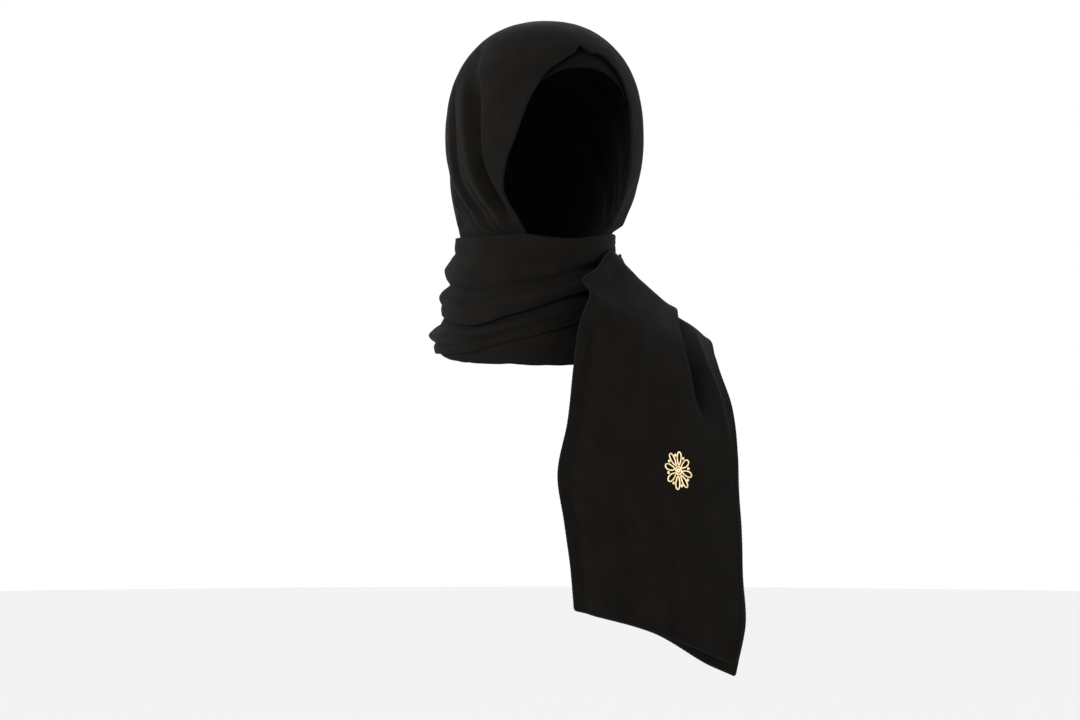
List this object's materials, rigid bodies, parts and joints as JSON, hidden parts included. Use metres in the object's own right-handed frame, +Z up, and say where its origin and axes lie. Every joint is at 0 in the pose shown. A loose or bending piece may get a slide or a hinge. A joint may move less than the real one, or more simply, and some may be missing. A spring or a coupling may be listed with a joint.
{
  "type": "wound hijab headscarf",
  "caption": "Long black headscarf wound as worn: hood over the head with the cap band at the forehead, turns round the throat, one end falling over the shoulder.",
  "frame": {"origin": "inner top of the crown, where the hood rests on the top of the wearer's head", "axes": "+Z up, -Y the front of the body, +X the wearer's left; the head is turned 24 degrees towards +X"},
  "size_m": [0.3106, 0.2468, 0.6442],
  "materials": {
    "black_georgette": "matt crepe with a faint sheen at grazing angles",
    "cap_jersey": "matt jersey",
    "gold_thread": "satin stitched thread"
  },
  "bodies": {
    "root": {"hood": "black_georgette", "inner_cap": "cap_jersey", "throat_turn_upper": "black_georgette", "throat_turn_lower": "black_georgette", "throat_turn_under": "black_georgette", "tail_front": "black_georgette", "tail_under": "black_georgette", "emblem": "gold_thread"}
  },
  "joints": []
}
